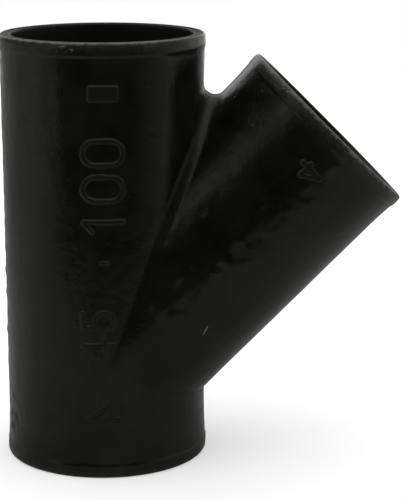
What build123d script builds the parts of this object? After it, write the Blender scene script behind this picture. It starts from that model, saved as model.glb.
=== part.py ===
from build123d import *
import math
import os

# A 45 degree lateral wye for hubless cast-iron drain pipe, cast in one piece.
# The origin is the centre of the bottom end face. +Z runs up the straight run and the branch leans toward +X.
# Sizes are in millimetres and angles in degrees.

# Each length is taken from the point where the two axes cross to an end face.
run_below_crossing = 59.5
run_above_crossing = 178.5
branch_reach = 178.5
branch_angle = 45.0

# The run and the branch share one outside diameter and one wall.
barrel_diameter = 111.3
wall_thickness = 5.65

# Every end has a low raised bead. Behind it a gentle swell runs out into the barrel.
bead_width = 6.5
bead_step = 0.6
shoulder_width = 1.8
swell_height = 0.45
swell_length = 16.0
rim_bevel_outside = 1.0
rim_bevel_inside = 0.8

# A ball of the first radius rolls along the outside corner between run and branch.
# A smaller one rounds the sharp edge inside, where the two bores meet.
outside_fillet = 6.5
crotch_round = 3.0

# The filling of a corner goes this far under both walls, so that it joins them.
filling_overlap = 0.005

run_length = run_below_crossing + run_above_crossing
barrel_radius = barrel_diameter / 2
bore_radius = barrel_radius - wall_thickness
swell_radius = barrel_radius + swell_height
bead_radius = swell_radius + bead_step
bead_zone = bead_width + shoulder_width + swell_length

# The joint line of each turned surface lies clear of both corners between run and branch.
joint_line_angle = 180 - 50


def beaded_leg(length, bead_at_foot):
    """The outside of one leg, solid, standing on the origin along +Z."""
    bead = [
        (bead_radius, 0),
        (bead_radius, bead_width),
        (swell_radius, bead_width + shoulder_width),
        (barrel_radius, bead_zone),
    ]
    foot = bead if bead_at_foot else [(barrel_radius, 0)]
    head = [(radius, length - depth) for radius, depth in reversed(bead)]
    outline = Plane.XZ * Polygon((0, 0), *foot, *head, (0, length), align=None)
    return Rot(0, 0, joint_line_angle) * revolve(outline, Axis.Z)


def bore_leg(length):
    """The bore of one leg as a solid plug, standing on the origin along +Z."""
    plug = Cylinder(bore_radius, length, align=(Align.CENTER, Align.CENTER, Align.MIN))
    return Rot(0, 0, joint_line_angle) * plug


def corner_filling(radius, ball, half_angle):
    """What a rolling ball leaves solid in the corner between two equal pipes.

    The pipes' axes cross at the origin in the XZ plane, each at half_angle to +X.
    """
    centre_radius = radius + ball - filling_overlap
    long_axis = centre_radius / math.sin(math.radians(half_angle))

    # The ball's centre runs round a little more than half an ellipse, and the ball clears a channel along it.
    half_turn = 90 + 7
    path = EllipticalCenterArc((0, 0), long_axis, centre_radius, start_angle=-half_turn, arc_size=2 * half_turn)
    channel = sweep(Plane(origin=path @ 0, z_dir=path % 0) * Circle(ball), path=path)

    # The ball touches each pipe along a plane curve. Both planes hold the Y axis, this far from the corner's plane.
    contact_slope = (radius + ball) / radius / math.tan(math.radians(half_angle))
    contact_angle = math.degrees(math.atan(contact_slope)) - (90 - half_angle)
    half_height = long_axis * math.tan(math.radians(contact_angle))
    wedge_side = Plane.XZ * Polygon((0, 0), (long_axis, half_height), (long_axis, -half_height), align=None)
    wedge = extrude(wedge_side, centre_radius, both=True)
    inside_path = extrude(Ellipse(long_axis, centre_radius), 2 * ball, both=True)
    return (wedge & inside_path) - channel


def with_filled_corners(run, branch, radius, ball):
    """Run and branch joined, with the acute corner above the branch and the obtuse one below it filled."""
    crossing = Pos(0, 0, run_below_crossing)
    half_acute = branch_angle / 2
    half_obtuse = 90 - half_acute
    above = crossing * Rot(0, half_acute - 90, 0) * corner_filling(radius, ball, half_acute)
    below = crossing * Rot(0, half_acute, 0) * corner_filling(radius, ball, half_obtuse)
    return run + crossing * Rot(0, branch_angle, 0) * branch + above + below


outside = with_filled_corners(
    beaded_leg(run_length, True),
    beaded_leg(branch_reach, False),
    barrel_radius,
    outside_fillet,
)
core = with_filled_corners(
    bore_leg(run_length),
    bore_leg(branch_reach),
    bore_radius,
    crotch_round,
)
casting = outside - core

# The three end faces are the only flat ones. Each has a rim round its outside and one round its bore.
end_faces = casting.faces().filter_by(GeomType.PLANE)
casting = chamfer([face.outer_wire().edge() for face in end_faces], rim_bevel_outside)
end_faces = casting.faces().filter_by(GeomType.PLANE)
casting = chamfer([face.inner_wires()[0].edge() for face in end_faces], rim_bevel_inside)

os.makedirs("parts", exist_ok=True)
export_step(casting, "parts/wye_casting.step")
print("casting volume", round(casting.volume), "solids", len(casting.solids()), "faces", len(casting.faces()))
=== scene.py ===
import math

import bpy
import bmesh
import numpy as np
from mathutils import Matrix, Vector, noise


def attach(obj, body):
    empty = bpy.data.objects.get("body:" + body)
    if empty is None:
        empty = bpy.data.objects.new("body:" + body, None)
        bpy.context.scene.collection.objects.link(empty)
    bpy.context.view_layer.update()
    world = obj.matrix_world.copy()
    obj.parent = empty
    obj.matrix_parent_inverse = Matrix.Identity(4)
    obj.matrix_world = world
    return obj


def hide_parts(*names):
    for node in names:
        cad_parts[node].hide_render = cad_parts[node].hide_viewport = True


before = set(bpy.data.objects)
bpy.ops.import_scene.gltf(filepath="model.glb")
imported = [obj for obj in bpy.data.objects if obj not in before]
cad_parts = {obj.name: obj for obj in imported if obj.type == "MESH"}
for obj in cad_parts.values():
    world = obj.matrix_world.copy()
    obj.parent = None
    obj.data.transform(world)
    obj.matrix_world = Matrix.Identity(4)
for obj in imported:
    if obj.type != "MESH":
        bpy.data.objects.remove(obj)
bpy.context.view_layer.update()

mm = 0.001


def srgb(hexCode):
    # sRGB hex to the linear colour that shaders take
    out = []
    for i in (0, 2, 4):
        c = int(hexCode[i:i + 2], 16) / 255
        out.append(c / 12.92 if c <= 0.04045 else ((c + 0.055) / 1.055) ** 2.4)
    return (*out, 1.0)


def addNode(tree, kind, settings=None, inputs=None):
    # one node: its settings, then its inputs as plain values or as sockets to link
    node = tree.nodes.new(kind)
    for name, value in (settings or {}).items():
        if name == "stops":
            # stops of a colour ramp, each as its position and a grey
            elements = node.color_ramp.elements
            while len(elements) < len(value):
                elements.new(0.5)
            for element, (position, grey) in zip(elements, value):
                element.position = position
                element.color = (grey, grey, grey, 1.0)
        else:
            setattr(node, name, value)
    for key, value in (inputs or {}).items():
        if isinstance(value, bpy.types.NodeSocket):
            tree.links.new(value, node.inputs[key])
        else:
            node.inputs[key].default_value = value
    return node


def emptyTree(owner):
    # the node tree of a material, light or world, without the nodes that it starts with
    owner.use_nodes = True
    owner.node_tree.nodes.clear()
    return owner.node_tree


# shape of the casting, the same sizes as the CAD solid, in mm and degrees
casting = {
    # from the point where the axes cross to each end face
    "below": 59.5,
    "above": 178.5,
    "reach": 178.5,
    "lean": 45.0,
    "outerRadius": 55.65,
    "boreRadius": 50.0,
    # the ball that rolls along the corner between run and branch, outside and inside
    "outerBall": 6.5,
    "boreBall": 3.0,
    # an end from the barrel over its bead and rim to the bore: distance from the end face, radius
    "rim": [
        (24.3, 55.65), (21.0, 55.67), (18.0, 55.73), (15.0, 55.83), (12.5, 55.94), (10.5, 56.02),
        (9.0, 56.08), (8.3, 56.14), (7.8, 56.24), (7.3, 56.42), (6.8, 56.57), (6.3, 56.66),
        (5.7, 56.70), (4.4, 56.72), (3.0, 56.72), (1.9, 56.68), (1.2, 56.52), (0.7, 56.26),
        (0.3, 55.84), (0.08, 55.4), (0.0, 54.9), (0.0, 53.6), (0.0, 52.4), (0.03, 51.4),
        (0.16, 50.75), (0.45, 50.28), (0.9, 50.03), (1.5, 50.0),
    ],
    "columns": 224,      # points round a pipe
    "rowPitch": 1.6,     # between rows of points outside
    "borePitch": 3.3,    # the same in the bores
    "filletRows": 8,     # rows across a rounded corner
    "weld": 0.004,       # points closer than this become one
    "sliver": 0.001,     # edges shorter than this go
}

crossing = np.array([0.0, 0.0, casting["below"]])
runLength = casting["below"] + casting["above"]
midWall = (casting["outerRadius"] + casting["boreRadius"]) / 2
lean = math.radians(casting["lean"])
sideways = np.array([0.0, 1.0, 0.0])
legs = {
    # axis out of the crossing, and the side of the leg that faces the crotch or the branch
    "above": (np.array([0.0, 0.0, 1.0]), np.array([1.0, 0.0, 0.0])),
    "below": (np.array([0.0, 0.0, -1.0]), np.array([1.0, 0.0, 0.0])),
    "reach": (
        np.array([math.sin(lean), 0.0, math.cos(lean)]),
        np.array([-math.cos(lean), 0.0, math.sin(lean)]),
    ),
}
acuteSlope = 1 / math.tan(lean / 2)
obtuseSlope = 1 / math.tan(math.pi / 2 - lean / 2)


def outward(name, angle):
    # unit vectors out of a leg's axis
    return np.cos(angle)[..., None] * legs[name][1] + np.sin(angle)[..., None] * sideways


def onLeg(name, angle, along, radius):
    # points on a leg: angles, distances from the crossing and radii, broadcast against each other
    angle, along, radius = np.broadcast_arrays(angle, along, radius)
    return crossing + along[..., None] * legs[name][0] + radius[..., None] * outward(name, angle)


def seamStart(name, angle, radius, ball):
    # where the rolling ball touches this leg, measured along the leg
    across = (radius + ball) * np.cos(angle)
    if name == "above":
        return np.maximum(acuteSlope * across, 0.0)
    if name == "below":
        return np.maximum(obtuseSlope * across, 0.0)
    return np.where(across > 0, acuteSlope * across, -obtuseSlope * across)


def legSheet(name, radius, ball, rim, pitch):
    # rows from the seam to the end of a leg, then on over the rim if there is one
    angle = np.linspace(0, 2 * math.pi, casting["columns"] + 1)
    start = seamStart(name, angle, radius, ball)
    length = casting[name]
    stop = length - rim[0][0]
    count = int(round(stop / pitch))
    share = np.linspace(0, 1, count + 1)[:, None]
    rows = [onLeg(name, angle[None, :], start[None, :] * (1 - share) + stop * share, radius)]
    if len(rim) > 1:
        depth = np.array([row[0] for row in rim[1:]])[:, None]
        size = np.array([row[1] for row in rim[1:]])[:, None]
        rows.append(onLeg(name, angle[None, :], length - depth, size))
    return np.concatenate(rows)


def filletSheet(one, other, mirrored, radius, ball):
    # the arc that the ball sweeps between its contact points on two legs
    angle = np.linspace(-math.pi / 2, math.pi / 2, casting["columns"] // 2 + 1)
    along = seamStart(one, angle, radius, ball)
    otherAngle = math.pi - angle if mirrored else angle
    centre = onLeg(one, angle, along, radius + ball)
    toOne = (onLeg(one, angle, along, radius) - centre) / ball
    toOther = (onLeg(other, otherAngle, along, radius) - centre) / ball
    opening = np.arccos(np.clip((toOne * toOther).sum(-1), -1, 1))[:, None]
    flat = opening < 1e-5
    safe = np.maximum(np.sin(opening), 1e-9)
    rows = []
    for share in np.linspace(0, 1, casting["filletRows"] + 1):
        turned = (np.sin((1 - share) * opening) * toOne + np.sin(share * opening) * toOther) / safe
        rows.append(centre + ball * np.where(flat, toOne, turned))
    return np.array(rows)


def gridQuads(rows, columns):
    # the corners of every cell in a grid of points
    ids = np.arange(rows * columns).reshape(rows, columns)
    return np.stack([ids[:-1, :-1], ids[:-1, 1:], ids[1:, 1:], ids[1:, :-1]], -1)


def smoothMesh(work, mesh):
    # hands an edited mesh back with its faces turned out and shaded smooth
    bmesh.ops.recalc_face_normals(work, faces=work.faces)
    for face in work.faces:
        face.smooth = True
    work.to_mesh(mesh)
    work.free()


def weldSheets(name, sheets):
    # grids of points to one closed mesh, in metres
    points, faces, base = [], [], 0
    for sheet in sheets:
        rows, columns = sheet.shape[:2]
        points.append(sheet.reshape(-1, 3))
        faces.append(base + gridQuads(rows, columns).reshape(-1, 4))
        base += rows * columns
    mesh = bpy.data.meshes.new(name)
    mesh.from_pydata((np.concatenate(points) * mm).tolist(), [], np.concatenate(faces).tolist())
    work = bmesh.new()
    work.from_mesh(mesh)
    bmesh.ops.remove_doubles(work, verts=work.verts, dist=casting["weld"] * mm)
    bmesh.ops.dissolve_degenerate(work, edges=work.edges, dist=casting["sliver"] * mm)
    openEdges = sum(1 for edge in work.edges if not edge.is_manifold)
    smoothMesh(work, mesh)
    print("stage", name, "faces", len(mesh.polygons), "open edges", openEdges)
    return mesh


# uneven skin that a sand mould leaves, in mm
skin = {
    # waviness, dents and peel: size across, height, and a shift that gives each its own noise
    "unevenness": [(46.0, 0.17, 3.1), (15.0, 0.075, 17.7), (5.5, 0.030, 41.3)],
    "beadPeel": (5.0, 0.16),            # coarser peel on the beads: size across, height
    "besideSeam": (4.5, 0.26, 17.0),    # rougher skin beside the mould line down the back, with its reach
    "seamShift": Vector((2.6, 8.1, 3.3)),
    "patchShift": Vector((9.2, 1.4, 5.5)),
    "patchSize": 6.0,
    "patchFall": 1.4,                   # how fast a rough place fades toward its reach
    "patchEnd": 1.6,                    # reaches out from its middle where it is over
    "bellEnd": 2.2,                     # the same for drops and for the skin beside the mould line
    # rough places: centre, how far they reach, height
    "patches": [
        ((64.6, -55.0, 130.0), 40.0, 0.62),
        ((104.6, -55.6, 164.0), 26.0, 0.46),
        ((-53.0, -16.0, 22.0), 22.0, 0.42),
        ((32.6, -54.0, 98.0), 22.0, 0.42),
        ((-20.0, 52.0, 150.0), 36.0, 0.22),
        ((80.0, 54.0, 110.0), 30.0, 0.24),
    ],
    # drops of iron that got behind loose sand: centre, radius, height
    "lumps": [
        ((69.4, -55.3, 139.3), 2.4, 1.15), ((71.2, -55.6, 132.6), 2.8, 1.35),
        ((47.0, -54.8, 121.7), 2.2, 1.01), ((61.5, -55.7, 121.8), 2.1, 0.94),
        ((40.0, -54.9, 114.0), 2.5, 1.15), ((74.0, -54.6, 149.0), 2.0, 0.81),
        ((59.4, -55.5, 115.2), 2.2, 0.94), ((30.3, -55.6, 94.8), 2.3, 0.94),
        ((24.6, -54.8, 100.0), 2.0, 0.74), ((122.1, -53.9, 172.0), 2.4, 1.08),
        ((118.1, -54.8, 170.5), 1.8, 0.74), ((84.6, -55.4, 152.5), 2.0, 0.74),
        ((-53.2, -16.5, 18.5), 1.9, 1.00), ((-52.4, -18.8, 22.5), 1.8, 1.15),
        ((-51.4, -21.4, 25.5), 1.8, 0.90), ((-53.6, -15.0, 24.5), 1.9, 0.85),
        ((-54.8, -9.5, 30.0), 2.2, 0.60), ((-52.6, -18.2, 36.0), 2.0, 0.55),
        ((-55.4, -5.0, 72.0), 2.2, 0.60), ((-55.1, -7.8, 94.0), 2.1, 0.70),
        ((-55.5, -3.0, 106.0), 2.2, 0.60), ((-54.9, -9.0, 119.0), 2.0, 0.55),
        ((-55.2, 6.0, 131.0), 2.2, 0.55), ((20.0, 51.9, 60.0), 2.4, 0.50),
        ((-30.0, 46.8, 190.0), 2.2, 0.45), ((92.0, 49.5, 134.0), 2.3, 0.50),
        ((-47.0, 29.8, 84.0), 2.0, 0.45),
    ],
}
mould = {
    # height of the mould line down the back, on top of the branch, and on the undersides
    "back": 0.62,
    "branch": 0.60,
    "under": 0.34,
    "width": 0.85,               # mm from its crest, where it has fallen to about a third
    "reach": 4.0,                # mm from the plane of symmetry where it has ended
    "grows": (90.0, 160.0),      # mm up the back between which it grows to its height
    "least": 0.45,               # the share of it below that
    "fade": (17.0, 0.8, 0.45),   # mm between high and low places, its mean and how much it changes
    "drift": (60.0, 0.35),       # mm between bends, and how far it leaves the plane
}
# what handling, cutting and dipping do to the ends, with painted highlight on their lit side, in mm
wear = {
    "endZone": (-1.0, 30.0),     # depths behind an end face that belong to the end
    "endRadii": (45.0, 60.0),    # and the radii
    # on the run's ends and on the branch's: how far the thin coat reaches behind the face,
    # how far the rubbing reaches from the edge along the leg and across it, how thin the coat is
    "runEnd": (2.5, 1.4, 1.4, 1.0),
    "branchEnd": (3.0, 3.4, 2.38, 1.6),
    "thinFrom": 0.5,             # depth from which the coat gets thicker again
    # the two rubbed edges: depth and radius
    "outerEdge": (0.2, 55.7),
    "innerEdge": (0.3, 50.4),
    "innerReach": 1.5,
    "innerShare": 0.4,           # the edge in the bore is rubbed less
    "litSide": np.array([-0.45, -0.89, 0.0]),   # the lit front-left side, whose rims take the most wear and painted highlight
    "otherSide": 0.35,           # share of that wear and painted highlight which is left on the other side
    "turnsAt": 0.25,             # of the radius past the axis, where it has fallen to that
    "ring": (0.2, 50.5, 55.5),   # the flat ring: its depth, and its radii
    "ringPaintedLight": 1.12,             # how strongly it is painted as bare iron at the front, a painted highlight
    "ringFade": 1.6,             # how fast that ends toward the back
    "coated": 55.2,              # radius outside which an end keeps its coat
    "cutDepth": 0.9,
    "calmDepth": 9.0,            # depth where the skin has all of its unevenness
    "calmLeast": 0.25,           # share of it at the face
    "bead": (0.8, 7.5, 55.9),    # depths of the bead, and its least radius
    "bore": 51.5,                # nearer to an axis than this is bore
    "branchFrom": 57.5,          # farther from the run's axis than this is branch
    "cornerStep": 0.5,           # this far outside both barrels is all corner
    "flat": 0.06,                # faces this near to an end face belong to its flat ring
}


def skinHeight(p):
    # height of the cast skin over the true surface at a point in mm
    total = 0.0
    for size, height, shift in skin["unevenness"]:
        total += height * noise.noise((p / size) + Vector((shift, shift, shift)))
    size, height, reach = skin["besideSeam"]
    if p.x < 0 and abs(p.y) < skin["bellEnd"] * reach and math.hypot(p.x, p.y) > midWall:
        rough = noise.noise(p / size + skin["seamShift"])
        total += height * math.exp(-(p.y / reach) ** 2) * rough
    for centre, reach, height in skin["patches"]:
        far = (p - Vector(centre)).length / reach
        if far < skin["patchEnd"]:
            rough = noise.noise(p / skin["patchSize"] + skin["patchShift"])
            total += height * math.exp(-(far * skin["patchFall"]) ** 2) * rough
    for centre, radius, height in skin["lumps"]:
        far = (p - Vector(centre)).length / radius
        if far < skin["bellEnd"]:
            total += height * math.exp(-far * far)
    return total


def mouldLine(p, onBranch):
    # the mould parts in the plane of symmetry: its line runs down the back and along the branch
    height = mould["under"]
    if onBranch and p.z - casting["below"] > p.x:
        height = mould["branch"]
    if not onBranch and p.x < 0:
        low, high = mould["grows"]
        grown = min(max((p.z - low) / (high - low), 0), 1)
        height = mould["back"] * (mould["least"] + (1 - mould["least"]) * grown)
    # the middle numbers keep the two noises apart
    size, mean, change = mould["fade"]
    fade = mean + change * noise.noise(Vector((p.x, 7.0, p.z)) / size)
    size, change = mould["drift"]
    drift = change * noise.noise(Vector((p.x, 50.0, p.z)) / size)
    return height * fade * math.exp(-((p.y - drift) / mould["width"]) ** 2)


def noteWear(co, offRun):
    # five notes on every point for the material, then how calm the skin is there, and the beads
    axis = legs["reach"][0]
    fromCrossing = co - crossing
    alongBranch = fromCrossing @ axis
    acrossBranch = fromCrossing - alongBranch[:, None] * axis
    # points behind the crossing are far from the branch
    offBranch = np.where(alongBranch > 0, np.linalg.norm(acrossBranch, axis=1), 1e3)
    offNearest = np.minimum(offRun, offBranch)
    wornAndLit, thin, cut, onBead = np.zeros((4, len(co)))
    calm = np.ones(len(co))
    corner = np.clip((offNearest - casting["outerRadius"]) / wear["cornerStep"], 0, 1)
    onRun = co @ wear["litSide"]
    onReach = acrossBranch @ wear["litSide"]
    outerDepth, outerRadius = wear["outerEdge"]
    innerDepth, innerRadius = wear["innerEdge"]
    ringDepth, ringInner, ringOuter = wear["ring"]
    beadFrom, beadTo, beadRadius = wear["bead"]
    # depth behind the end face, distance from the axis, and how much it faces the lit side
    ends = (
        (co[:, 2], offRun, onRun, wear["runEnd"]),
        (runLength - co[:, 2], offRun, onRun, wear["runEnd"]),
        (casting["reach"] - alongBranch, offBranch, onReach, wear["branchEnd"]),
    )
    for depth, off, towardLit, (spread, rub, rubAcross, thinness) in ends:
        near = (off > wear["endRadii"][0]) & (off < wear["endRadii"][1])
        near &= (depth > wear["endZone"][0]) & (depth < wear["endZone"][1])
        outerRub = np.exp(-((depth - outerDepth) / rub) ** 2 - ((off - outerRadius) / rubAcross) ** 2)
        fromInner = ((depth - innerDepth) ** 2 + (off - innerRadius) ** 2) / wear["innerReach"] ** 2
        rubbed = np.maximum(outerRub, wear["innerShare"] * np.exp(-fromInner))
        # rims toward the lit side get more bare iron and thin coat; that extra share is painted highlight
        toward = np.clip(towardLit / casting["outerRadius"] + wear["turnsAt"], 0, 1)
        side = wear["otherSide"] + (1 - wear["otherSide"]) * toward
        wornAndLit = np.maximum(wornAndLit, np.where(near, rubbed * side, 0))
        # painted highlight: the flat ring's front half gets the bare iron colour, strongest toward the
        # camera
        front = np.clip(1.0 - wear["ringFade"] * co[:, 1] / casting["outerRadius"], 0, 1)
        onRing = near & (depth < ringDepth) & (off > ringInner) & (off < ringOuter)
        wornAndLit = np.maximum(wornAndLit, np.where(onRing, wear["ringPaintedLight"] * front, 0))
        # the thin coat follows side too, so its lighter tone is partly painted highlight on the lit side
        fading = np.exp(-np.maximum(depth - wear["thinFrom"], 0) / spread) * side * thinness
        thin = np.maximum(thin, np.where(near & (off > wear["coated"]), fading, 0))
        cut = np.where(near & (depth < wear["cutDepth"]) & (off < wear["coated"]), 1.0, cut)
        calmed = wear["calmLeast"] + (1 - wear["calmLeast"]) * np.clip(depth / wear["calmDepth"], 0, 1)
        calm = np.where(near, np.minimum(calm, calmed), calm)
        corner = np.where(near, 0.0, corner)
        onBead = np.where(near & (off > beadRadius) & (depth > beadFrom) & (depth < beadTo), 1.0, onBead)
    bore = ((offNearest < wear["bore"]) & (cut < 0.5)).astype(float)
    notes = {"rimWear": wornAndLit, "thinCoat": thin, "cutFace": cut, "boreSide": bore, "seamCoat": corner}
    return notes, calm, onBead


def roughen(mesh):
    # moves every vertex along its normal by the cast skin, and keeps the notes with the mesh
    count = len(mesh.vertices)
    co = np.empty(count * 3)
    no = np.empty(count * 3)
    mesh.vertices.foreach_get("co", co)
    mesh.vertices.foreach_get("normal", no)
    co = co.reshape(-1, 3) / mm
    no = no.reshape(-1, 3)
    offRun = np.hypot(co[:, 0], co[:, 1])
    notes, calm, onBead = noteWear(co, offRun)
    # the mould line shows neither in the bores nor on the cut faces
    noLine = notes["boreSide"] + notes["cutFace"]
    peelSize, peelHeight = skin["beadPeel"]
    shift = np.zeros(count)
    for i in range(count):
        p = Vector(co[i])
        height = skinHeight(p)
        if abs(p.y) < mould["reach"] and not noLine[i]:
            height += mouldLine(p, offRun[i] > wear["branchFrom"])
        shift[i] = height * calm[i]
        if onBead[i]:
            shift[i] += peelHeight * noise.noise(p / peelSize)
    moved = co + no * shift[:, None]
    moved[:, 2] = np.maximum(moved[:, 2], 0.0)
    mesh.vertices.foreach_set("co", (moved * mm).ravel())
    for name, values in notes.items():
        layer = mesh.attributes.new(name, "FLOAT", "POINT")
        layer.data.foreach_set("value", values)
    mesh.update()
    # the flat ring of each end takes the second material
    branchAxis = Vector(legs["reach"][0])
    for polygon in mesh.polygons:
        at = Vector(polygon.center) / mm
        along = (at - Vector(crossing)).dot(branchAxis)
        depth = min(abs(at.z), abs(runLength - at.z), abs(casting["reach"] - along))
        if depth < wear["flat"]:
            polygon.material_index = 1


outer = (casting["outerRadius"], casting["outerBall"])
inner = (casting["boreRadius"], casting["boreBall"])
sheets = [legSheet(name, *outer, casting["rim"], casting["rowPitch"]) for name in legs]
sheets += [legSheet(name, *inner, casting["rim"][-1:], casting["borePitch"]) for name in legs]
for size in (outer, inner):
    sheets.append(filletSheet("above", "reach", False, *size))
    sheets.append(filletSheet("below", "reach", True, *size))
castMesh = weldSheets("wyeCasting", sheets)
roughen(castMesh)
wye = bpy.data.objects.new("wyeCasting", castMesh)
bpy.context.collection.objects.link(wye)
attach(wye, "root")
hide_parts("wye_casting")
print("stage casting done")


# raised size marks, drawn as strokes and laid on the pipe as a relief, in mm
marks = {
    "cell": 0.40,          # spacing of the relief's grid
    "flank": 1.15,         # width of the drafted flank
    "sunk": 1.6,           # how deep the body of a mark sits in the wall
    "stroke": 1.25,        # half the width of a stroke
    "corner": 1.0,         # radius of a pad's corners
    "rise": 0.95,          # height over the pipe
    "toe": 0.45,           # share of its height that a flank goes on down into the pipe
    "toeKept": 0.30,       # share that a face must stay above to be kept
    "ragged": (5.0, 0.3),  # how the outline wavers: size across, how far
    "uneven": 0.2,         # how much the height changes with it
    "digitWidth": 0.6,     # of a digit's height
}


def arc(x, y, radius, start, end, steps=14):
    turns = np.radians(np.linspace(start, end, steps))
    return [(x + radius * math.cos(turn), y + radius * math.sin(turn)) for turn in turns]


# digits in a box 0.6 wide and 1 high
digits = {
    "0": [arc(0.3, 0.7, 0.3, 0, 180) + arc(0.3, 0.3, 0.3, 180, 360) + [(0.6, 0.7)]],
    "1": [[(0.12, 0.78), (0.36, 1.0), (0.36, 0.0)]],
    "4": [[(0.45, 0.0), (0.45, 1.0), (0.0, 0.3), (0.62, 0.3)]],
    "5": [[(0.56, 1.0), (0.09, 1.0), (0.05, 0.57)] + arc(0.28, 0.31, 0.31, 125, -140, 16)],
}


def strokeLines(text, size, gap):
    # every stroke of the digits as short segments, and the width of the whole
    segments, cursor = [], 0.0
    for digit in text:
        for line in digits[digit]:
            at = [(cursor + x * size, y * size) for x, y in line]
            segments += list(zip(at[:-1], at[1:]))
        cursor += marks["digitWidth"] * size + gap
    return segments, cursor - gap


def distanceTo(segments, u, v):
    # from every point to the nearest segment
    best = np.full(u.shape, 1e9)
    for (ax, ay), (bx, by) in segments:
        dx, dy = bx - ax, by - ay
        share = np.clip(((u - ax) * dx + (v - ay) * dy) / (dx * dx + dy * dy + 1e-12), 0, 1)
        best = np.minimum(best, np.hypot(u - ax - share * dx, v - ay - share * dy))
    return best


def reliefPiece(name, leg, angleDeg, alongStart, shape, width, height, rise, turn):
    # shape gives the distance outside the raised form; u runs out along the leg, v across it,
    # with the leg's angle where turn is 1 and against it where turn is -1
    cell, flank = marks["cell"], marks["flank"]
    raggedSize, ragged = marks["ragged"]
    margin = flank * 3 + 1.5   # room for the flanks
    u = np.arange(-margin, width + margin, cell)
    v = np.arange(-margin, height + margin, cell)
    gridU, gridV = np.meshgrid(u, v, indexing="ij")
    waver = np.array([[noise.noise(Vector((a, b, angleDeg)) / raggedSize) for b in v] for a in u])
    share = np.clip(0.5 - (shape(gridU, gridV) + ragged * waver) / flank, -marks["toe"], 1.0)
    soft = np.where(share > 0, share * share * (3 - 2 * share), share)
    raised = rise * soft * (1 - marks["uneven"] / 2 + marks["uneven"] * waver)
    angle = math.radians(angleDeg) + turn * (gridV - height / 2) / casting["outerRadius"]
    base = onLeg(leg, angle, alongStart + gridU, casting["outerRadius"])
    ring = outward(leg, angle)
    rows, columns = gridU.shape
    lift = np.array([[skinHeight(Vector(base[i, j])) for j in range(columns)] for i in range(rows)])
    points = base + ring * (lift + raised)[..., None]
    quads = gridQuads(rows, columns)
    quads = quads[raised.ravel()[quads].max(-1) > -marks["toeKept"] * rise]
    # the same grid again, sunk in the wall, closes the mark to a solid form
    buried = base + ring * (lift - marks["sunk"])[..., None]
    under = quads[:, ::-1] + rows * columns
    edges = {}
    for quad in quads.tolist():
        for k in range(4):
            edge = (quad[k], quad[(k + 1) % 4])
            if edge[::-1] in edges:
                del edges[edge[::-1]]
            else:
                edges[edge] = True
    walls = [(b, a, a + rows * columns, b + rows * columns) for a, b in edges]
    mesh = bpy.data.meshes.new(name)
    allPoints = np.concatenate([points.reshape(-1, 3), buried.reshape(-1, 3)]) * mm
    mesh.from_pydata(allPoints.tolist(), [], quads.tolist() + under.tolist() + walls)
    work = bmesh.new()
    work.from_mesh(mesh)
    bmesh.ops.delete(work, geom=[vert for vert in work.verts if not vert.link_faces], context="VERTS")
    smoothMesh(work, mesh)
    piece = bpy.data.objects.new(name, mesh)
    bpy.context.collection.objects.link(piece)
    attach(piece, "root")
    print("stage", name, "faces", len(mesh.polygons))
    return piece


def sizeMark(name, leg, angleDeg, alongStart, text, size, gap, riseShare):
    # digits in raised strokes
    segments, width = strokeLines(text, size, gap)
    shape = lambda u, v: distanceTo(segments, u, v) - marks["stroke"]
    return reliefPiece(name, leg, angleDeg, alongStart, shape, width, size, marks["rise"] * riseShare, -1)


def blankPad(name, leg, angleDeg, alongStart, width, height, riseShare):
    # a plain raised rectangle with softened corners
    corner = marks["corner"]

    def shape(u, v):
        a = np.abs(u - width / 2) - width / 2 + corner
        b = np.abs(v - height / 2) - height / 2 + corner
        return np.hypot(np.maximum(a, 0), np.maximum(b, 0)) + np.minimum(np.maximum(a, b), 0) - corner

    return reliefPiece(name, leg, angleDeg, alongStart, shape, width, height, marks["rise"] * riseShare, 1)


# leg, degrees round it and mm out along it, then a pad's width and height, or a mark's digits with
# their height and the gap between them, and last the share of the full rise; the front of the run
# faces -Y, at -90 degrees, and digits read upward, so their tops turn to -X
raisedMarks = [
    blankPad("padUpper", "above", -89.8, 148.0, 8.2, 16.0, 1.15),
    sizeMark("markUpper", "above", -90.3, 76.0, "100", 21.5, 6.2, 1.0),
    blankPad("padMiddle", "above", -90.0, 60.5, 2.0, 4.5, 0.8),
    sizeMark("markMiddle", "above", -93.9, 8.5, "45", 16.5, 6.0, 0.95),
    sizeMark("markLower", "below", -91.9, 18.0, "4", 17.5, 6.0, 0.9),
    sizeMark("markBranch", "reach", -89.4, 150.0, "4", 13.0, 6.0, 1.0),
]
print("stage marks done")


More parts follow.
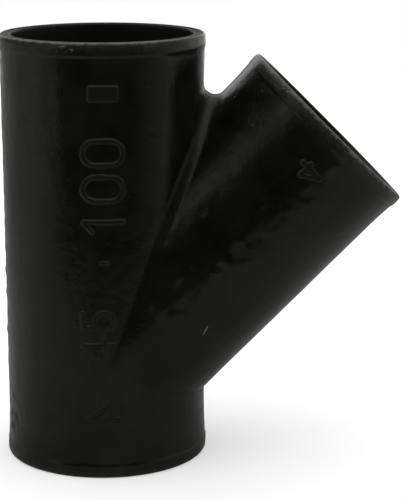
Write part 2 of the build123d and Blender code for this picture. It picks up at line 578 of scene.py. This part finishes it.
# bitumen-dipped sand-cast iron
coat = {
    "deep": "060604",          # thick coat
    "dusty": "12130D",         # thin or dusty coat
    "warm": "0D0B05",          # brownish where the coat is old
    "boreDust": "14140F",      # dust that lies in the bores
    "thin": "2F2E29",          # iron shows through the coat behind the rims; stronger on the lit side, where it is painted highlight
    # bare iron, also used as painted highlight on the rims' lit side and as a painted glint
    "bareIron": "605E59",
    "sheen": "F7FFF3",         # the film throws light back a little green
    # patterns: mm across, detail and roughness of the noise
    "patterns": {
        "grain": (0.9, 3.0, 0.6),     # sand grain, drawn about twice as coarse as it is
        "peel": (4.5, 2.0, 0.5),      # orange peel of the dipped coat
        "sag": (7.0, 2.0, 0.5),       # runs that the coat makes while it drains
        "cloud": (34.0, 5.0, 0.6),    # where dust lies
        "blot": (11.0, 4.0, 0.65),    # where the coat is older and duller
        "chips": (4.0, 5.0, 0.7),     # where a rubbed place has lost its coat
    },
    "sagStretch": 0.15,        # scale along Z, which draws the runs out downward
    "pinholes": 5.5,           # mm between them
    "pinholeSize": [(0.06, 0.0), (0.17, 1.0)],    # of that distance, from the bottom to the brim
    # mm from the bottom to the top of each unevenness, in the order in which they lie on each other
    "depths": {"sag": 0.16, "peel": 0.15, "pits": 0.07, "grain": 0.045},
    # how much of each layer of colour there is, for the value of its pattern
    "dustStops": [(0.35, 0.0), (0.60, 1.0)],
    "ageStops": [(0.48, 0.0), (0.72, 0.8)],
    "thinStops": [(0.32, 0.25), (0.62, 1.0)],
    "bareStops": [(0.32, 0.0), (0.56, 0.95)],
    "knockStops": [(0.56, 0.0), (0.66, 0.8)],
    "knockCore": 0.4,          # share of a scrape's width that is at full strength
    "boreShare": 0.8,
    "blotRange": (0.35, 0.65),
    "roughness": (0.15, 0.27),
    # what is added to the roughness where the coat has drunk in, is dusty, thick or gone
    "rougher": {"cutFace": 0.32, "boreSide": 0.15, "seamCoat": 0.12, "bare": 0.30},
    "level": 0.3,              # a thin bitumen film throws back less than clear plastic
    # the cut ends are rough and drink the coat, so they hardly shine, and dust hardly shows on them
    "endLevel": 0.03,
    "endRougher": 0.25,
    "endDust": -0.3,
    # the raised marks stand up and rub, so they are rougher and duller; their extra dusty tone is painted
    # highlight on their raised tops
    "markRougher": 0.16,
    "markPaintedLight": 0.15,
}
# places where the coat was scraped or chipped, and last a painted glint on the branch's bead: leg, both ends
# as angle and mm from the crossing,
# radius there, half the width, and how strongly it is laid bare
knocks = [
    ("reach", (-112.4, 57.1), (-114.6, 51.5), 55.7, 0.6, 1.5),
    ("above", (-114.5, 175.0), (-105.4, 175.0), 56.7, 3.0, 1.08),
    # not a chip: a painted glint, bare iron colour standing in for a highlight by the branch's mouth
    ("reach", (-49.5, 176.4), (-45.0, 175.6), 56.7, 0.9, 1.3),
]


def coatedIron(name, level, extraRoughness, dustAndLight):
    # bitumen-dipped sand-cast iron: black with a soft gloss that breaks up over sand grain,
    # orange peel and runs
    material = bpy.data.materials.new(name)
    tree = emptyTree(material)
    place = addNode(tree, "ShaderNodeTexCoord").outputs["Object"]
    drained = addNode(tree, "ShaderNodeMapping", None, {
        "Vector": place, "Scale": (1.0, 1.0, coat["sagStretch"])}).outputs[0]
    perMm = 1000.0   # noise scale that gives one feature per mm
    found = {}
    for key, (size, detail, roughness) in coat["patterns"].items():
        found[key] = addNode(tree, "ShaderNodeTexNoise", None, {
            "Vector": drained if key == "sag" else place, "Scale": perMm / size,
            "Detail": detail, "Roughness": roughness}).outputs["Fac"]
    for key in ("rimWear", "thinCoat", "cutFace", "boreSide", "seamCoat"):
        found[key] = addNode(tree, "ShaderNodeAttribute", {"attribute_name": key}).outputs["Fac"]
    pinholes = addNode(tree, "ShaderNodeTexVoronoi", {"feature": "F1"}, {
        "Vector": place, "Scale": perMm / coat["pinholes"], "Randomness": 1.0})
    found["pits"] = addNode(tree, "ShaderNodeValToRGB", {"stops": coat["pinholeSize"]}, {
        "Fac": pinholes.outputs["Distance"]}).outputs["Color"]

    # bare iron colour: rims where the noise is high, which on their lit side and the flat ring's front is
    # painted highlight, and single knocks, the last of them a painted glint
    rubbed = addNode(tree, "ShaderNodeMath", {"operation": "MULTIPLY"}, {
        0: found["rimWear"], 1: found["chips"]})
    bare = addNode(tree, "ShaderNodeValToRGB", {"stops": coat["bareStops"]}, {
        "Fac": rubbed.outputs[0]}).outputs["Color"]
    for leg, first, last, radius, half, share in knocks:
        start, end = (
            Vector(onLeg(leg, math.radians(angle), along, radius)) for angle, along in (first, last))
        # distances to both ends add up to the length of the scrape on its line, and to more beside it
        toStart = addNode(tree, "ShaderNodeVectorMath", {"operation": "DISTANCE"}, {0: place, 1: start * mm})
        toEnd = addNode(tree, "ShaderNodeVectorMath", {"operation": "DISTANCE"}, {0: place, 1: end * mm})
        both = addNode(tree, "ShaderNodeMath", {"operation": "ADD"}, {
            0: toStart.outputs["Value"], 1: toEnd.outputs["Value"]})
        length = (end - start).length
        reach = 2 * math.hypot(length / 2, half)
        near = addNode(tree, "ShaderNodeMapRange", None, {
            "Value": both.outputs[0], "From Min": reach * mm,
            "From Max": (length + coat["knockCore"] * (reach - length)) * mm, "To Max": share})
        ragged = addNode(tree, "ShaderNodeMath", {"operation": "MULTIPLY"}, {
            0: near.outputs["Result"], 1: found["chips"]})
        chippedAndGlint = addNode(tree, "ShaderNodeValToRGB", {"stops": coat["knockStops"]}, {
            "Fac": ragged.outputs[0]})
        bare = addNode(tree, "ShaderNodeMath", {"operation": "MAXIMUM"}, {
            0: bare, 1: chippedAndGlint.outputs["Color"]}).outputs[0]
    found["bare"] = bare

    # layers of colour over the thick coat
    # extra dusty share; on the marks it is painted highlight, on the cut ends less dust
    clouded = addNode(tree, "ShaderNodeMath", {"operation": "ADD"}, {0: found["cloud"], 1: dustAndLight})
    dustShare = addNode(tree, "ShaderNodeValToRGB", {"stops": coat["dustStops"]}, {
        "Fac": clouded.outputs[0]})
    ageShare = addNode(tree, "ShaderNodeValToRGB", {"stops": coat["ageStops"]}, {"Fac": found["blot"]})
    boreShare = addNode(tree, "ShaderNodeMath", {"operation": "MULTIPLY"}, {
        0: found["boreSide"], 1: coat["boreShare"]})
    patchy = addNode(tree, "ShaderNodeValToRGB", {"stops": coat["thinStops"]}, {"Fac": found["chips"]})
    thinShare = addNode(tree, "ShaderNodeMath", {"operation": "MULTIPLY"}, {
        0: found["thinCoat"], 1: patchy.outputs["Color"]})
    layers = (
        (dustShare.outputs["Color"], "dusty"),
        (ageShare.outputs["Color"], "warm"),
        (boreShare.outputs[0], "boreDust"),
        (thinShare.outputs[0], "thin"),
        (bare, "bareIron"),
    )
    colour = srgb(coat["deep"])
    for share, key in layers:
        colour = addNode(tree, "ShaderNodeMix", {"data_type": "RGBA"}, {
            "Factor": share, 6: colour, 7: srgb(coat[key])}).outputs[2]

    glossy, dull = coat["roughness"]
    rough = addNode(tree, "ShaderNodeMapRange", None, {
        "Value": found["blot"], "From Min": coat["blotRange"][0], "From Max": coat["blotRange"][1],
        "To Min": glossy + extraRoughness, "To Max": dull + extraRoughness}).outputs["Result"]
    for key, amount in coat["rougher"].items():
        rough = addNode(tree, "ShaderNodeMath", {"operation": "MULTIPLY_ADD", "use_clamp": True}, {
            0: found[key], 1: amount, 2: rough}).outputs[0]

    # each unevenness lies on the one before it
    bump = {"Strength": 1.0}
    for key, depth in coat["depths"].items():
        bump.update({"Height": found[key], "Distance": depth * mm})
        bump["Normal"] = addNode(tree, "ShaderNodeBump", None, bump).outputs["Normal"]
    shader = addNode(tree, "ShaderNodeBsdfPrincipled", None, {
        "Base Color": colour, "Roughness": rough, "Normal": bump["Normal"],
        "Metallic": 0.0, "IOR": 1.5, "Specular IOR Level": level, "Specular Tint": srgb(coat["sheen"]),
    })
    addNode(tree, "ShaderNodeOutputMaterial", None, {"Surface": shader.outputs[0]})
    return material


iron = coatedIron("bitumenDippedSandCastIron", coat["level"], 0.0, 0.0)
endIron = coatedIron("bitumenDippedCutIron", coat["endLevel"], coat["endRougher"], coat["endDust"])
# the marks' material is a lighter copy of the coat: painted highlight on their raised tops
rubbedPaintedLitIron = coatedIron("rubbedBitumenOnCastMarksPaintedLit", coat["level"], coat["markRougher"], coat["markPaintedLight"])
wye.data.materials.append(iron)
wye.data.materials.append(endIron)
for piece in raisedMarks:
    piece.data.materials.append(rubbedPaintedLitIron)
print("stage materials done")


# studio: white table and backdrop, a softbox on each side, a dark room behind the camera
studio = {
    "ambient": 0.45,           # even light of the room on everything
    "darkRoom": 0.04,          # what gloss sees of the room behind the camera
    "paper": "F2F2F2",
    "paperLift": 0.35,         # glow that lifts the paper to white for the camera
    "tableSize": 6.0,          # m from the middle to each side
    "tableGloss": 0.38,        # what gloss sees of the table
    "tableLeft": 1.35,         # how much brighter it is at the left, under the panel
    "tableLeftAt": (-0.05, -0.20),      # m along X between which it grows to that
    "tableBack": 0.23,         # what gloss sees of the table behind the object
    "tableFade": 0.40,         # m behind the object where it has fallen to that
    "tableFront": (-0.43, -0.37),       # m along Y between which the lit table begins
    # half the width, the distance behind the object and the height of the backdrop, in m
    "backdrop": (0.95, 1.7, 1.6),
    # centre, the point it faces, width and height in m, and radiance
    "softboxes": {
        "leftPanel": ((-0.9, 0.27, 0.5), (0.0, 0.27, 0.5), 2.04, 1.0, 1.0),
        "rightPanel": ((1.1, -0.45, 0.6), (0.0, -0.45, 0.6), 1.3, 1.2, 0.32),
        "backRight": ((1.25, 1.15, 0.65), (0.0, 1.15, 0.65), 1.9, 1.3, 0.65),
        "highLeft": ((-0.82, -0.80, 0.86), (0.0, 0.0, 0.15), 0.42, 0.34, 0.38),
        "overhead": ((0.05, 0.0, 1.5), (0.05, 0.0, 0.0), 2.4, 2.4, 0.85),
    },
    # the left panel is not even: m along Y, from its front edge to its back edge, and radiance there
    "leftStops": [(-0.75, 0.60), (-0.30, 0.25), (0.0, 0.18), (0.30, 0.15), (0.75, 0.13), (1.29, 0.10)],
}


def softbox(name, centre, target, width, height, radiance):
    light = bpy.data.lights.new(name, "AREA")
    light.shape = "RECTANGLE"
    light.size, light.size_y = width, height
    light.energy = radiance * math.pi * width * height   # W that give this radiance
    holder = bpy.data.objects.new(name, light)
    holder.location = centre
    holder.rotation_euler = (Vector(target) - Vector(centre)).to_track_quat("-Z", "Y").to_euler()
    holder.visible_camera = False
    bpy.context.collection.objects.link(holder)
    return light


def fadePanel(light, stops):
    # lets a panel's light change along Y, as (Y, radiance); its energy is for a radiance of 1
    tree = emptyTree(light)
    place = addNode(tree, "ShaderNodeNewGeometry")
    axes = addNode(tree, "ShaderNodeSeparateXYZ", None, {"Vector": place.outputs["Position"]})
    front, back = stops[0][0], stops[-1][0]
    along = addNode(tree, "ShaderNodeMapRange", None, {
        "Value": axes.outputs["Y"], "From Min": front, "From Max": back})
    shares = [((y - front) / (back - front), radiance) for y, radiance in stops]
    shade = addNode(tree, "ShaderNodeValToRGB", {"stops": shares}, {"Fac": along.outputs["Result"]})
    glow = addNode(tree, "ShaderNodeEmission", None, {"Color": shade.outputs["Color"], "Strength": 1.0})
    addNode(tree, "ShaderNodeOutputLight", None, {"Surface": glow.outputs[0]})


def stagePlane(name, corners, material):
    mesh = bpy.data.meshes.new(name)
    mesh.from_pydata(corners, [], [(0, 1, 2, 3)])
    mesh.materials.append(material)
    plane = bpy.data.objects.new(name, mesh)
    bpy.context.collection.objects.link(plane)


def tablePaper():
    # matt white paper, lifted to white for the camera; gloss sees it dimmer, and dark past its front edge
    material = bpy.data.materials.new("matteWhitePaper")
    tree = emptyTree(material)
    path = addNode(tree, "ShaderNodeLightPath")
    place = addNode(tree, "ShaderNodeNewGeometry")
    axes = addNode(tree, "ShaderNodeSeparateXYZ", None, {"Vector": place.outputs["Position"]})
    edge = addNode(tree, "ShaderNodeMapRange", None, {
        "Value": axes.outputs["Y"],
        "From Min": studio["tableFront"][0], "From Max": studio["tableFront"][1]})
    away = addNode(tree, "ShaderNodeMapRange", None, {
        "Value": axes.outputs["Y"], "From Min": 0.0, "From Max": studio["tableFade"],
        "To Min": studio["tableGloss"], "To Max": studio["tableBack"]})
    under = addNode(tree, "ShaderNodeMapRange", None, {
        "Value": axes.outputs["X"],
        "From Min": studio["tableLeftAt"][0], "From Max": studio["tableLeftAt"][1],
        "To Min": 1.0, "To Max": studio["tableLeft"]})
    lit = addNode(tree, "ShaderNodeMath", {"operation": "MULTIPLY"}, {
        0: away.outputs["Result"], 1: under.outputs["Result"]})
    grey = addNode(tree, "ShaderNodeMix", {"data_type": "FLOAT"}, {
        0: edge.outputs["Result"], 2: studio["darkRoom"], 3: lit.outputs[0]})
    colour = addNode(tree, "ShaderNodeMix", {"data_type": "RGBA"}, {
        "Factor": path.outputs["Is Glossy Ray"], 6: srgb(studio["paper"]), 7: grey.outputs[0]})
    paper = addNode(tree, "ShaderNodeBsdfDiffuse", None, {"Color": colour.outputs[2]})
    lift = addNode(tree, "ShaderNodeEmission", None, {
        "Color": srgb("FFFFFF"), "Strength": studio["paperLift"]})
    lifted = addNode(tree, "ShaderNodeAddShader", None, {0: paper.outputs[0], 1: lift.outputs[0]})
    both = addNode(tree, "ShaderNodeMixShader", None, {
        0: path.outputs["Is Camera Ray"], 1: paper.outputs[0], 2: lifted.outputs[0]})
    addNode(tree, "ShaderNodeOutputMaterial", None, {"Surface": both.outputs[0]})
    return material


def whiteBackdrop():
    # an evenly lit white sheet
    material = bpy.data.materials.new("whiteBackdrop")
    tree = emptyTree(material)
    glow = addNode(tree, "ShaderNodeEmission", None, {"Color": srgb("FFFFFF"), "Strength": 1.0})
    addNode(tree, "ShaderNodeOutputMaterial", None, {"Surface": glow.outputs[0]})
    return material


def buildStudio():
    size = studio["tableSize"]
    corners = [(-size, -size, 0), (size, -size, 0), (size, size, 0), (-size, size, 0)]
    stagePlane("table", corners, tablePaper())
    half, behind, high = studio["backdrop"]
    low = 0.001   # just clear of the table
    corners = [(-half, behind, low), (half, behind, low), (half, behind, high), (-half, behind, high)]
    stagePlane("backdrop", corners, whiteBackdrop())
    panels = {name: softbox(name, *values) for name, values in studio["softboxes"].items()}
    fadePanel(panels["leftPanel"], studio["leftStops"])
    world = bpy.data.worlds.new("room")
    world.cycles.sampling_method = "NONE"
    bpy.context.scene.world = world
    tree = emptyTree(world)
    path = addNode(tree, "ShaderNodeLightPath")
    room, dark = ((studio[key],) * 3 + (1,) for key in ("ambient", "darkRoom"))
    seen = addNode(tree, "ShaderNodeMix", {"data_type": "RGBA"}, {
        "Factor": path.outputs["Is Glossy Ray"], 6: room, 7: dark})
    white = addNode(tree, "ShaderNodeMix", {"data_type": "RGBA"}, {
        "Factor": path.outputs["Is Camera Ray"], 6: seen.outputs[2], 7: srgb("FFFFFF")})
    back = addNode(tree, "ShaderNodeBackground", None, {"Color": white.outputs[2], "Strength": 1.0})
    addNode(tree, "ShaderNodeOutputWorld", None, {"Surface": back.outputs[0]})


buildStudio()
print("stage studio done")


# camera, set from the outline of the object
shot = {
    "place": (0.00570, -0.93309, 0.33404),
    "yaw": 2.978,         # degrees to the right of straight along +Y
    "pitch": 13.210,      # degrees down
    "lens": 122.05,       # mm
    "sensor": 36.0,       # mm, the picture's long side
}
lens = bpy.data.cameras.new("camera")
lens.sensor_width = shot["sensor"]
lens.lens = shot["lens"]
lens.clip_start, lens.clip_end = 0.05, 50.0
camera = bpy.data.objects.new("camera", lens)
bpy.context.collection.objects.link(camera)
yaw, pitch = math.radians(shot["yaw"]), math.radians(shot["pitch"])
ahead = Vector((math.sin(yaw) * math.cos(pitch), math.cos(yaw) * math.cos(pitch), -math.sin(pitch)))
right = ahead.cross(Vector((0, 0, 1))).normalized()
up = right.cross(ahead)
camera.matrix_world = Matrix.Translation(shot["place"]) @ Matrix((right, up, -ahead)).transposed().to_4x4()
bpy.context.scene.camera = camera
bpy.context.scene.view_settings.view_transform = "Standard"
